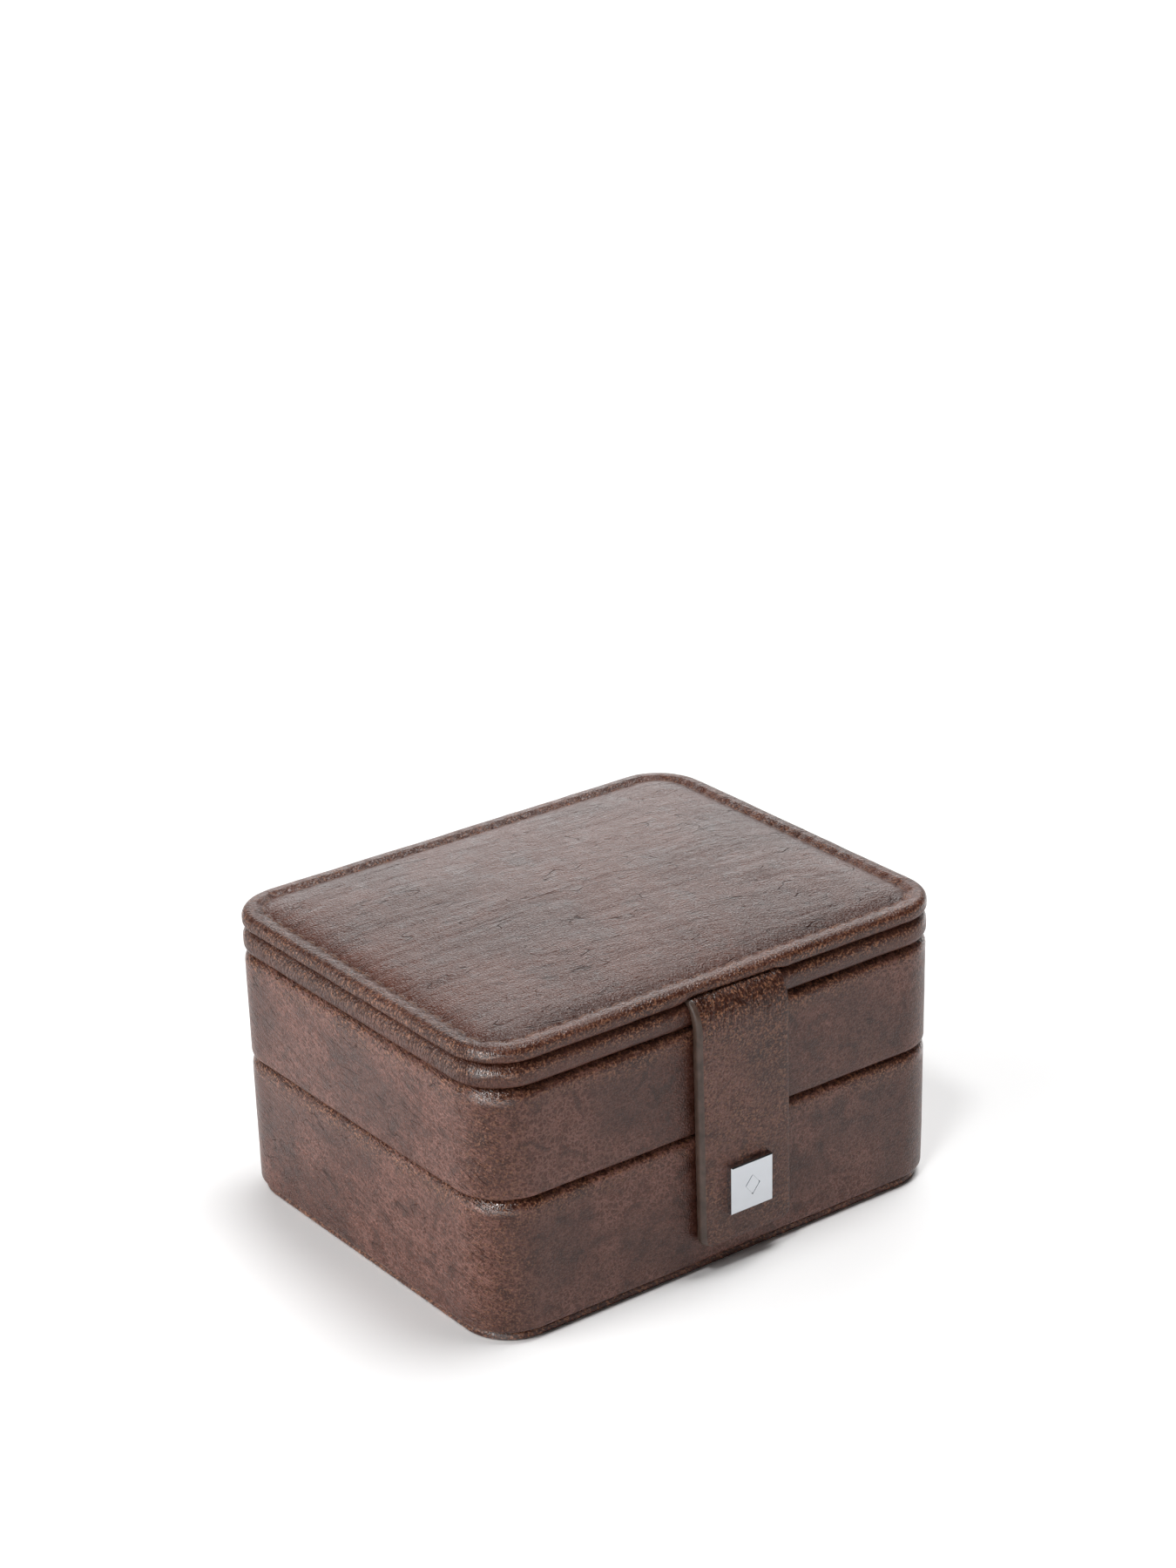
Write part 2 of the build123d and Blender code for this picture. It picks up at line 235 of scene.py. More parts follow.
def relief(points, size, seed):
    """Smooth noise of about that size in millimetres at each point, from -1 to 1."""
    shift = Vector((seed * 17.3, seed * 5.1, seed * 9.7))
    values = [noise.noise(Vector(p) / size + shift) for p in points.reshape(-1, 3)]
    return np.array(values).reshape(points.shape[:-1])


def add_object(name, data):
    made = bpy.data.objects.new(name, data)
    bpy.context.scene.collection.objects.link(made)
    return made


def make_object(name, points, faces, uvs=None, wear_and_shade=None, crease=None):
    """A smooth mesh object from points in millimetres, with leather coordinates and marks.

    Besides the wear_and_shade mark, partly worn leather and partly painted shade, and the crease mark, it
    gets a polish mark, on the case's burnished corners.
    """
    points = np.reshape(points, (-1, 3))
    mesh = bpy.data.meshes.new(name)
    mesh.from_pydata((points * MM).tolist(), [], faces)
    mesh.polygons.foreach_set("use_smooth", [True] * len(mesh.polygons))
    if uvs is not None:
        layer = mesh.uv_layers.new(name="grain")
        layer.data.foreach_set("uv", (np.concatenate(uvs) * MM).ravel())
    past_curve = np.abs(points[:, :2]) - (HALF_WIDTH - CORNER, HALF_DEPTH - CORNER)
    polish = np.clip((past_curve.min(axis=1) - POLISH_START) / POLISH_FADE, 0, 1)
    for label, values in (("wear_and_shade", wear_and_shade), ("crease", crease), ("polish", polish)):
        marks = mesh.attributes.new(label, "FLOAT", "POINT")
        marks.data.foreach_set("value", np.zeros(len(points)) if values is None else np.ravel(values))
    return add_object(name, mesh)


def grid_faces(rows, columns, closed_rows, closed_columns, flip=False):
    """Quads of a grid of points stored row by row, and each quad's (row, column) corners."""
    faces = []
    corners = []
    for i in range(rows if closed_rows else rows - 1):
        for j in range(columns if closed_columns else columns - 1):
            quad = [(i, j), (i, j + 1), (i + 1, j + 1), (i + 1, j)]
            if flip:
                quad.reverse()
            faces.append([(r % rows) * columns + c % columns for r, c in quad])
            corners.append(quad)
    return faces, corners


def end_caps(rows, columns, flip=False):
    """The faces that close a tube of points at its first row and at its last."""
    first = list(range(columns))
    last = [(rows - 1) * columns + c for c in first]
    return [first, last[::-1]] if flip else [first[::-1], last]


def unwrapped(corners, u, v):
    """Leather coordinates of quads, from the distance to each column and to each row."""
    return [np.array([(u[c], v[r]) for r, c in quad]) for quad in corners]


def normals_of(rings):
    """Outward directions of a grid of rings, from its neighbours."""
    along = np.roll(rings, -1, axis=1) - np.roll(rings, 1, axis=1)
    up = np.roll(rings, -1, axis=0) - np.roll(rings, 1, axis=0)
    normal = np.cross(along, up)
    return normal / np.maximum(np.linalg.norm(normal, axis=2, keepdims=True), 1e-9)


def pushed(rings, heights):
    """Rings of points moved outward by those heights."""
    return rings + normals_of(rings) * heights[..., None]


def ring_grid(profile, density=1.0):
    """Rings of points that carry a profile of (inset, height) round the case."""
    rings = []
    for inset, height in profile:
        ring = outline(inset, density)
        rings.append(np.column_stack([ring, np.full(len(ring), height)]))
    return np.array(rings)


def finish_piece(made, body, nodes, material):
    """Gives a piece its material and its body, if it is on one alone, and hides the CAD nodes it stands for.
    """
    made.data.materials.append(material)
    if body:
        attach(made, body)
    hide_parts(*nodes)


def wrap_piece(name, profile, body, node, material, bumps, seed, wear_and_shade=None, crease=None):
    """A leather or cloth wrap: a closed profile carried right round the case, slightly uneven."""
    rings = ring_grid(profile)
    rings = pushed(rings, bumps * (relief(rings, 16.0, seed) * 0.7 + relief(rings, 5.0, seed + 3) * 0.3))
    faces, corners = grid_faces(*rings.shape[:2], True, True)
    uvs = unwrapped(corners, lengths(outline(0)), lengths(profile))
    marks = [mark and mark(rings) for mark in (wear_and_shade, crease)]
    made = make_object(name, rings, faces, uvs, *marks)
    finish_piece(made, body, [node], material)


def strip_piece(name, grid, u, v, wear_and_shade, crease, nodes, material, flip=False):
    """A flat strip, from rows of points round it, closed at both ends, and put on no body."""
    rows, columns = grid.shape[:2]
    points = grid.reshape(-1, 3)
    faces, corners = grid_faces(rows, columns, False, True, flip)
    caps = end_caps(rows, columns, flip)
    uvs = unwrapped(corners, u, v) + [points[cap][:, [0, 2]] for cap in caps]
    made = make_object(name, points, faces + caps, uvs, wear_and_shade, crease)
    finish_piece(made, None, nodes, material)
    return made


# ---- materials


def rgba(color):
    """A colour as a socket takes it; a socket stays as it is."""
    return (*color, 1.0) if isinstance(color, tuple) else color


def shaded(color, amount):
    return tuple(min(1.0, c * amount) for c in color)


class Nodes:
    """Builds a tree of shader nodes with short calls that each give one output."""

    def __init__(self, owner):
        owner.use_nodes = True
        self.tree = owner.node_tree
        self.tree.nodes.clear()

    def feed(self, socket, value):
        if isinstance(value, bpy.types.NodeSocket):
            self.tree.links.new(value, socket)
        else:
            socket.default_value = value

    def add(self, kind, inputs=(), output=0, **settings):
        node = self.tree.nodes.new(kind)
        for key, value in settings.items():
            setattr(node, key, value)
        for key, value in dict(inputs).items():
            self.feed(node.inputs[key], value)
        return node.outputs[output]

    def end(self, kind, shader):
        """Ends the tree with an output node of that kind."""
        self.feed(self.tree.nodes.new(kind).inputs[0], shader)

    def math(self, operation, a, b=0.0, clamp=False):
        return self.add("ShaderNodeMath", {0: a, 1: b}, operation=operation, use_clamp=clamp)

    def times(self, first, *others):
        for other in others:
            first = self.math("MULTIPLY", first, other)
        return first

    def plus(self, first, *others):
        for other in others:
            first = self.math("ADD", first, other)
        return first

    def vector(self, operation, a, b, output=0):
        return self.add("ShaderNodeVectorMath", {0: a, 1: b}, output, operation=operation)

    def scaled(self, place, amount):
        return self.add("ShaderNodeVectorMath", {0: place, "Scale": amount}, operation="SCALE")

    def ramp(self, value, low, high, to_low=0.0, to_high=1.0):
        inputs = {"Value": value, "From Min": low, "From Max": high, "To Min": to_low, "To Max": to_high}
        return self.add("ShaderNodeMapRange", inputs, interpolation_type="SMOOTHSTEP", clamp=True)

    def near(self, value, level, reach):
        """A thin line: 1 where the value is at that level, down to 0 at that reach from it."""
        return self.ramp(self.math("ABSOLUTE", self.math("SUBTRACT", value, level)), 0.0, reach, 1.0, 0.0)


class Graph(Nodes):
    """One material with a principled shader."""

    def __init__(self, name):
        self.material = bpy.data.materials.new(name)
        super().__init__(self.material)
        self.shader = self.tree.nodes.new("ShaderNodeBsdfPrincipled")
        self.end("ShaderNodeOutputMaterial", self.shader.outputs[0])

    def moved(self, place, seed):
        """That place in millimetres, moved by a seed so that no two pieces match."""
        return self.vector("ADD", self.scaled(place, 1 / MM), (seed * 37.0, seed * 53.0, seed * 11.0))

    def surface(self, seed):
        """Place on the leather, in millimetres."""
        return self.moved(self.add("ShaderNodeUVMap", uv_map="grain"), seed)

    def solid(self, seed):
        """Place in the object, in millimetres, for pieces with no leather coordinates."""
        return self.moved(self.add("ShaderNodeTexCoord", output="Object"), seed)

    def noise(self, place, size, detail=3.0, roughness=0.5, distortion=0.0, output="Fac"):
        inputs = {"Vector": place, "Scale": 1 / size, "Detail": detail, "Roughness": roughness}
        return self.add("ShaderNodeTexNoise", {**inputs, "Distortion": distortion}, output)

    def cells(self, place, size):
        """Distance to the nearest border of scattered cells."""
        inputs = {"Vector": place, "Scale": 1 / size}
        return self.add("ShaderNodeTexVoronoi", inputs, "Distance", feature="DISTANCE_TO_EDGE")

    def warp(self, place, size, amount):
        """Pushes a place about by smooth noise."""
        wander = self.noise(place, size, 2.0, output="Color")
        centred = self.vector("SUBTRACT", wander, (0.5, 0.5, 0.5))
        return self.vector("ADD", place, self.scaled(centred, amount * 2))

    def turned(self, place, degrees, along, across):
        """The place turned and drawn out, so that noise becomes streaks along its first direction."""
        inputs = {"Vector": place, "Angle": math.radians(-degrees)}
        rotated = self.add("ShaderNodeVectorRotate", inputs, rotation_type="Z_AXIS")
        return self.vector("MULTIPLY", rotated, (1 / along, 1 / across, 1.0))

    def mix(self, factor, a, b):
        return self.add("ShaderNodeMix", {0: factor, 6: rgba(a), 7: rgba(b)}, 2, data_type="RGBA")

    def mark(self, name):
        return self.add("ShaderNodeAttribute", attribute_name=name, output="Fac")

    def bump(self, height, depth=1.0):
        """Raises the surface by height times depth in millimetres."""
        return self.add("ShaderNodeBump", {"Height": height, "Distance": depth * MM, "Strength": 1.0})

    def set(self, **values):
        """Sets or feeds the shader's inputs: coat_ior stands for its Coat IOR."""
        for key, value in values.items():
            label = key.replace("_", " ").title().replace("Ior", "IOR")
            self.feed(self.shader.inputs[label], rgba(value))


BROWN = (0.064, 0.018, 0.010)
RED_BROWN = (0.086, 0.022, 0.010)
GREY_BROWN = (0.084, 0.034, 0.024)
DARK_BROWN = (0.014, 0.004, 0.002)
TAN = (0.30, 0.135, 0.075)
ROSE = (0.24, 0.105, 0.080)
DEEP_RED = (0.040, 0.011, 0.006)
THREAD = (0.17, 0.080, 0.046)
SUEDE = (0.235, 0.190, 0.160)


FINE = (0.7, 5.0, 0.6)
COARSE = (0.6, 22.0, 1.8)


def leather(name, seed, angle, fine=FINE, coarse=COARSE, web=0.5, scratch=0.5, worn=0.0, fold=0.3):
    """Waxed pull-up leather: clouded colour, fine and long creases, pebbled grain, pale cracks, tan flecks.

    The fine and coarse creases each have a strength, a length and a width, and run at that angle on the
    leather. The mesh's crease mark scales them; the creases and the grain's crevices are painted darker
    as shade. Its wear_and_shade mark, with worn added, brings a darker, redder base, partly worn leather
    stretched over an edge and partly painted shade, and tan flecks, partly worn leather and partly painted
    glints. Its polish mark brings a coat of wax.
    """
    g = Graph(name)
    fine_share, *fine_size = fine
    coarse_share, *coarse_size = coarse
    place = g.surface(seed)
    bent = g.warp(place, 34.0, 4.5)
    loose = g.warp(place, 1.7, 0.42)
    clouds = g.noise(place, 30.0, 3.0, 0.6)
    patches = g.noise(place, 6.0, 4.0, 0.62, 0.6)
    mottle = g.noise(place, 1.3, 3.0, 0.7)
    wear_and_shade = g.math("ADD", g.mark("wear_and_shade"), worn, clamp=True)
    crease = g.mark("crease")

    # Creases, long and short, where the patches let them show
    drawn = g.noise(g.turned(bent, angle, *coarse_size), 1.0, 0.4, 0.4)
    long_lines = g.times(g.near(drawn, 0.5, 0.020), g.ramp(patches, 0.62, 0.42), crease)
    drawn = g.cells(g.turned(g.warp(bent, 3.0, 0.5), angle, *fine_size), 1.0)
    short_lines = g.times(g.ramp(drawn, 0.0, 0.16, 1.0, 0.0), g.ramp(patches, 0.26, 0.44), crease)

    # Pebbled grain, tan flecks that are partly worn leather and partly painted glints,
    # a pale net of cracks and long faint scratches
    pebbles = g.cells(loose, 0.85)
    crevices = g.ramp(pebbles, 0.0, 0.14, 1.0, 0.0)
    flecks = g.ramp(g.noise(loose, 0.62, 2.0, 0.6), 0.48, 0.61)
    flecks = g.times(flecks, g.ramp(mottle, 0.36, 0.52, 0.30, 1.0))
    net = g.ramp(g.cells(g.warp(place, 2.2, 1.5), 1.6), 0.02, 0.19, 1.0, 0.0)
    net = g.times(net, g.ramp(patches, 0.36, 0.52), g.ramp(clouds, 0.42, 0.58, 0.35, 1.0))
    marks = g.noise(g.turned(g.warp(place, 14.0, 5.0), 12.0, 40.0, 5.0), 1.0, 1.0)
    marks = g.times(g.near(marks, 0.47, 0.008), g.ramp(clouds, 0.50, 0.60))
    # Creases and the crevices of the grain, painted darker as shade, with less shine and wax
    crease_shade = g.math("MAXIMUM", g.times(long_lines, coarse_share), g.times(short_lines, 0.8 * fine_share))
    crease_shade = g.math("MAXIMUM", crease_shade, g.times(crevices, 0.38))

    # Colour: one tint over another, each as strong as its share
    color = g.mix(g.ramp(clouds, 0.38, 0.62), BROWN, RED_BROWN)
    for where, share, tint in (
        (g.ramp(patches, 0.46, 0.66), 0.50, GREY_BROWN),
        (g.ramp(patches, 0.48, 0.34), 0.36, DARK_BROWN),
        (g.ramp(mottle, 0.50, 0.66), 0.14, ROSE),
        (g.ramp(clouds, 0.50, 0.36), 0.16, DARK_BROWN),
        # A darker, redder band along rims and rolls: partly worn leather, partly painted shade
        (wear_and_shade, 0.80, DEEP_RED),
        # Tan flecks, thickest on that band: partly worn leather, partly painted glints on the grain
        (flecks, g.math("ADD", g.times(wear_and_shade, 0.92), 0.08, clamp=True), TAN),
        (net, 0.70 * web, ROSE),
        (marks, scratch, ROSE),
        # Painted shade in the creases and the crevices of the grain
        (crease_shade, 0.90, DARK_BROWN),
    ):
        color = g.mix(g.times(where, share), color, tint)

    # Relief in millimetres
    height = g.plus(
        g.times(g.ramp(pebbles, 0.0, 0.35), 0.075),
        g.times(mottle, 0.07),
        g.times(long_lines, -0.20 * coarse_share),
        g.times(short_lines, -0.14 * fine_share),
        g.times(g.noise(g.turned(bent, angle, *coarse_size), 1.0, 1.0), crease, fold),
    )
    raised = g.bump(height)

    # Gloss, and wax on what is both burnished and worn
    gloss = g.ramp(patches, 0.3, 0.7, 0.31, 0.41)
    shine = g.ramp(g.math("MAXIMUM", crease_shade, g.times(wear_and_shade, 0.4)), 0.0, 1.0, 0.31, 0.06)
    waxed = g.plus(g.times(g.mark("polish"), g.ramp(g.mark("wear_and_shade"), 0.45, 0.80), 0.9), 0.08)
    waxed = g.times(waxed, g.ramp(crease_shade, 0.0, 1.0, 1.0, 0.3))
    g.set(base_color=color, roughness=gloss, normal=raised, ior=1.5, specular_ior_level=shine)
    g.set(coat_weight=waxed, coat_roughness=0.17, coat_normal=raised, coat_ior=2.1)
    return g.material


def painted_edge():
    """The strap's burnished and painted cut edge: smooth, with faint mottling."""
    g = Graph("edge_paint")
    place = g.solid(2)
    mottle = g.noise(place, 3.0, 4.0, 0.6)
    fine = g.noise(place, 0.5, 2.0)
    color = g.mix(g.ramp(mottle, 0.3, 0.7), (0.052, 0.032, 0.024), (0.092, 0.058, 0.045))
    raised = g.bump(g.plus(g.times(mottle, 0.05), g.times(fine, 0.012)))
    g.set(base_color=color, roughness=0.28, normal=raised, ior=1.5, specular_ior_level=0.4)
    return g.material


def suede(name, seed, color=SUEDE):
    """Short-nap suede: brushed shade, fine fibres, soft sheen."""
    g = Graph(name)
    place = g.solid(seed)
    brushed = g.noise(place, 14.0, 4.0, 0.6)
    nap = g.noise(place, 0.35, 3.0, 0.7)
    light = shaded(color, 1.14)
    shade = g.mix(g.ramp(brushed, 0.35, 0.68), shaded(color, 0.84), light)
    shade = g.mix(g.times(g.ramp(nap, 0.35, 0.7), 0.4), shade, light)
    raised = g.bump(g.plus(g.times(nap, 0.10), g.times(brushed, 0.08)))
    g.set(base_color=shade, roughness=0.95, normal=raised, sheen_weight=0.35, sheen_roughness=0.5)
    return g.material


def thread():
    """Waxed thread: twisted plies across the stitch."""
    g = Graph("stitch_thread")
    plies = g.noise(g.solid(1), 0.35, 2.0)
    color = g.mix(g.ramp(plies, 0.3, 0.7), shaded(THREAD, 0.6), THREAD)
    g.set(base_color=color, roughness=0.5, normal=g.bump(plies, 0.08))
    return g.material


def metal(name, seed, color, roughness, brush):
    """Polished or brushed metal, with faint scratches and smudges."""
    g = Graph(name)
    place = g.solid(seed)
    smudge = g.noise(place, 4.0, 3.0, 0.6)
    scratch = g.noise(g.turned(place, 14.0, 4.0, 0.06), 1.0, 2.0)
    gloss = g.ramp(smudge, 0.3, 0.7, roughness, roughness + 0.07)
    shade = g.mix(g.ramp(smudge, 0.2, 0.8), shaded(color, 0.94), color)
    raised = g.bump(g.plus(g.times(scratch, brush), g.times(smudge, 0.004)))
    g.set(base_color=shade, metallic=1.0, roughness=gloss, normal=raised)
    return g.material


def mirror_glass():
    """Silvered glass with faint dust and wipe marks."""
    g = Graph("silvered_glass")
    wipe = g.noise(g.turned(g.solid(4), 30.0, 18.0, 3.0), 1.0, 3.0)
    shade = g.mix(wipe, (0.86, 0.88, 0.89), (0.92, 0.93, 0.94))
    g.set(base_color=shade, metallic=1.0, roughness=g.ramp(wipe, 0.3, 0.8, 0.02, 0.05))
    return g.material


def fibre_board():
    """Grey-brown board: pressed fibres."""
    g = Graph("fibre_board")
    fibres = g.noise(g.turned(g.solid(8), 0.0, 3.0, 0.4), 1.0, 4.0, 0.6)
    color = g.mix(g.ramp(fibres, 0.3, 0.7), (0.26, 0.20, 0.14), (0.42, 0.34, 0.25))
    g.set(base_color=color, roughness=0.9, normal=g.bump(fibres, 0.1))
    return g.material


def foam_cells():
    """Open-cell foam."""
    g = Graph("foam")
    cells = g.cells(g.solid(3), 0.9)
    color = g.mix(g.ramp(cells, 0.0, 0.25), (0.42, 0.40, 0.34), (0.62, 0.60, 0.54))
    g.set(base_color=color, roughness=0.95, normal=g.bump(cells, 0.3))
    return g.material


WALL_LOOK = {"fine": (0.6, 12.0, 0.9), "coarse": (0.75, 34.0, 2.8), "web": 1.0}
ROLL_LOOK = {"fine": (0.9, 3.5, 0.9), "coarse": (0.3, 5.0, 1.8), "web": 0.3, "scratch": 0.3}
PAD_LOOK = {"fine": (0.35, 8.0, 0.9), "coarse": (0.8, 40.0, 3.4), "web": 0.1, "scratch": 0.1}
STRAP_LOOK = {"fine": (0.9, 5.0, 1.0), "coarse": (0.6, 14.0, 2.0), "web": 0.7}
WALL_LEATHER = leather("wall_leather", 1, -22.0, **WALL_LOOK)
UPPER_LEATHER = leather("upper_leather", 2, -20.0, **WALL_LOOK)
ROLL_LEATHER = leather("roll_leather", 3, 80.0, **ROLL_LOOK, worn=0.1, fold=0.1)
PAD_LEATHER = leather("pad_leather", 4, -9.0, **PAD_LOOK, fold=0.32)
STRAP_LEATHER = leather("strap_leather", 5, 88.0, **STRAP_LOOK, worn=0.22, fold=0.15)
BASE_LEATHER = leather("base_leather", 6, 0.0, worn=0.25)
SPINE_LEATHER = leather("spine_leather", 7, 2.0, coarse=(0.8, *COARSE[1:]))
EDGE_PAINT = painted_edge()
LINING = suede("lining_suede", 3)
VELVET = suede("roll_velvet", 5, shaded(SUEDE, 0.85))
STITCH_THREAD = thread()
PLATE_METAL = metal("plate_nickel", 2, (0.58, 0.60, 0.63), 0.16, brush=0.002)
STEEL = metal("plain_steel", 3, (0.45, 0.45, 0.46), 0.35, brush=0.01)
SILVERED = mirror_glass()
BOARD = fibre_board()
FOAM = foam_cells()


# ---- worn leather and painted shade, and crease marks


def rim_wear_and_shade(low, high):
    """Worn leather and painted shade along the upper edge of a wall, uneven, and less along its lower edge
    and at the corners.
    """

    def marks(rings):
        ragged = relief(rings, 9.0, 21) * 1.8
        x, y, z = np.moveaxis(rings, 2, 0)
        top = np.clip(1.3 - (high - z + ragged) / 5.6, 0, 1)
        foot = np.clip(0.7 - (z - low + ragged) / 2.6, 0, 1) * 0.5
        corner_x = np.clip((np.abs(x) - HALF_WIDTH + CORNER) / CORNER, 0, 1)
        corner_y = np.clip((np.abs(y) - HALF_DEPTH + CORNER) / CORNER, 0, 1)
        corners = np.clip(corner_x * corner_y * 2.2 + ragged * 0.12, 0, 1) * 0.45
        return np.maximum(np.maximum(top, foot), corners)

    return marks


def roll_wear_and_shade(middle):
    """Worn leather and painted shade on the middle of a roll, where it stands out most."""

    def marks(rings):
        ragged = relief(rings, 6.0, 33) * 0.5
        return np.clip(1.0 - np.abs(rings[..., 2] - middle) / 2.2 + ragged, 0, 1)

    return marks


def wall_crease(rings):
    """Wrinkles on the end walls, hardly any on the front and back."""
    end_share = np.clip((np.abs(rings[..., 0]) - (HALF_WIDTH - 9.0)) / 8.0, 0, 1)
    return 0.12 + 0.88 * end_share


# ---- base board and trays


def make_tray_wrap(tier, body, material, seed):
    """The wrap of a tray: up the outside, over the rim, and down inside to the edge of the lining."""
    node = f"{tier}_tray_leather"
    (_, _, low), (_, _, high) = span(node)
    profile = rounded(
        [
            (FOOT_WIDTH, low),
            (0.0, low, FOOT_ROUND),
            (0.0, high, RIM_ROUND),
            (RIM_WIDTH, high, RIM_INNER_ROUND),
            (RIM_WIDTH, high - RIM_DROP),
            (RIM_WIDTH - SKIN, high - RIM_DROP),
            (RIM_WIDTH - SKIN, high - SKIN_ON_RIM),
            (SKIN_OUTSIDE, high - SKIN_ON_RIM),
            (SKIN_OUTSIDE, low + SKIN),
            (FOOT_WIDTH, low + SKIN),
        ]
    )
    marks = {"wear_and_shade": rim_wear_and_shade(low, high), "crease": wall_crease}
    wrap_piece(f"{tier}_tray_wrap", profile, body, node, material, bumps=0.13, seed=seed, **marks)


def slab_piece(name, node, body, material, radius=0.3, bumps=0.0, seed=1, worn=0.0):
    """A covered board or a flat lining: rounded edge all round, and a skin across its top and bottom."""
    (_, _, low), (reach_x, _, high) = span(node)
    inset = HALF_WIDTH - reach_x
    skin = inset + 8.0
    edge = rounded([(skin, low), (inset, low, radius), (inset, high, radius), (skin, high)], closed=False)
    inner = np.linspace(skin, HALF_DEPTH - 4.0, 26)[1:]
    profile = [(d, low) for d in inner[::-1]] + [tuple(p) for p in edge] + [(d, high) for d in inner]
    rings = ring_grid(profile)
    rows, columns = rings.shape[:2]
    middle = (low + high) / 2
    sag = bumps * (relief(rings, 14.0, seed) - 1)
    rings[..., 2] += np.where(rings[..., 2] > middle, sag, 0.0)
    points = rings.reshape(-1, 3)
    faces = grid_faces(rows, columns, False, True)[0] + end_caps(rows, columns)
    spread = points[:, :2] + 0.8 * points[:, 2:]
    wear_and_shade = np.clip(1 - np.abs(rings[..., 2] - middle) / (high - low), 0, 1) * worn
    near_edge = np.array([[p[0] < inset + 2] for p in profile])
    made = make_object(name, points, faces, [spread[face] for face in faces], wear_and_shade * near_edge)
    finish_piece(made, body, [node], material)


def make_case():
    """The base board's cover and the leather of both trays."""
    slab_piece("base_cover", "base_leather", "base", BASE_LEATHER, radius=1.3, worn=0.9)
    make_tray_wrap("lower", "base", WALL_LEATHER, 2)
    make_tray_wrap("upper", "upper_tray", UPPER_LEATHER, 5)


# ---- interior


def lining_wall(tier, body, seed):
    node = f"{tier}_wall_lining"
    (_, _, low), (reach_x, _, high) = span(node)
    outer = HALF_WIDTH - reach_x
    inner = outer + 1.0
    profile = rounded([(outer, low), (outer, high), (inner, high, 0.3), (inner, low)], step=1.2)
    wrap_piece(f"{tier}_wall_suede", profile, body, node, LINING, bumps=0.06, seed=seed)


def soft_block(node, body):
    """A suede-covered divider: every edge rounded, and the suede slightly uneven."""
    cell, radius, bumps = 1.6, 1.1, 0.12
    low, high = span(node)
    centre = (low + high) / 2
    half = (high - low) / 2
    counts = np.maximum(4, (2 * half / cell).astype(int))
    index = {}
    faces = []
    for axis in range(3):
        b, c = (axis + 1) % 3, (axis + 2) % 3
        for side in (0, counts[axis]):
            for i in range(counts[b]):
                for j in range(counts[c]):
                    quad = []
                    for over_b, over_c in ((0, 0), (1, 0), (1, 1), (0, 1)):
                        key = [0, 0, 0]
                        key[axis], key[b], key[c] = side, i + over_b, j + over_c
                        quad.append(index.setdefault(tuple(key), len(index)))
                    faces.append(quad if side else quad[::-1])
    points = (2 * np.array(list(index)) / counts - 1) * half
    inner = np.clip(points, radius - half, half - radius)
    away = points - inner
    length = np.maximum(np.linalg.norm(away, axis=1, keepdims=True), 1e-6)
    points = np.where(length > 1e-5, inner + away / length * radius, points)
    uneven = relief(points + centre, 9.0, len(node)) * bumps
    points = points * (1 - np.abs(uneven)[:, None] / np.maximum(half, 1.0)) + centre
    made = make_object(f"{node}_suede", points, faces)
    finish_piece(made, body, [node], LINING)


def ring_roll(number, body):
    """One soft roll: half-round on top, its ends tucked in and its cloth drawn into small folds there."""
    node = f"ring_roll_{number}"
    low, high = span(node)
    gap = 0.25
    y = (low[1] + high[1]) / 2
    radius = (high[1] - low[1]) / 2
    middle = high[2] - radius
    floor = low[2] + 0.05
    along, over, under = 73, 28, 12
    rows = []
    for x in np.linspace(low[0], high[0], along):
        end = min(x - low[0], high[0] - x)
        r = (radius - gap) * (1 - 0.5 * max(0.0, 1 - end / 4.0) ** 2.2)
        row = []
        for angle in math.pi * np.arange(over) / over:
            fold = 1 + 0.035 * math.cos(11 * angle) * max(0.0, 1 - end / 9.0)
            swell = 1 + 0.012 * noise.noise(Vector((x / 9, angle * 2, number * 3.7)))
            reach = r * fold * swell
            row.append((x, y + reach * math.cos(angle), middle - gap + reach * math.sin(angle)))
        for s in np.arange(under) / under:
            side = -1 if s < 0.5 else 1
            depth = 2 * min(s, 1 - s)
            row.append((x, y + side * r * (1 - 0.1 * depth), middle - (middle - floor) * depth))
        rows.append(row)
    faces = grid_faces(along, over + under, False, True)[0] + end_caps(along, over + under)
    made = make_object(f"velvet_roll_{number}", rows, faces)
    finish_piece(made, body, [node], VELVET)


def make_interior():
    for tier, body, seed in (("lower", "base", 11), ("upper", "upper_tray", 14)):
        lining_wall(tier, body, seed)
        slab_piece(f"{tier}_floor_suede", f"{tier}_floor_lining", body, LINING, bumps=0.12, seed=seed)
    slab_piece("upper_underside_suede", "upper_underside", "upper_tray", LINING)
    for number in range(1, 7):
        ring_roll(number, "upper_tray")
    for divider in ("long", "left", "right"):
        soft_block(f"lower_divider_{divider}", "base")
    for divider in ("long", "cross"):
        soft_block(f"upper_divider_{divider}", "upper_tray")


# ---- lid


def strap_lift(rings):
    """Where the lid's rolled edge rides up over the strap, fading out past both its sides."""
    half_width, fade = 17.5, 4.5
    x = rings[..., 0] - STRAP_X + 1.0
    near = np.clip((half_width - np.abs(x)) / fade, 0, 1)
    near = near * near * (3 - 2 * near)
    front = np.clip((-rings[..., 1] - (HALF_DEPTH - 6.0)) / 4.0, 0, 1)
    slope = 1.15 - 0.3 * (x + 15) / 30
    reach = 0.85 * ROLL_HEIGHT
    low = np.clip((COVER_LOW[2] + reach - rings[..., 2]) / reach, 0, 1)
    return rings + (near * front * slope * low)[..., None] * (0, 0, 1)


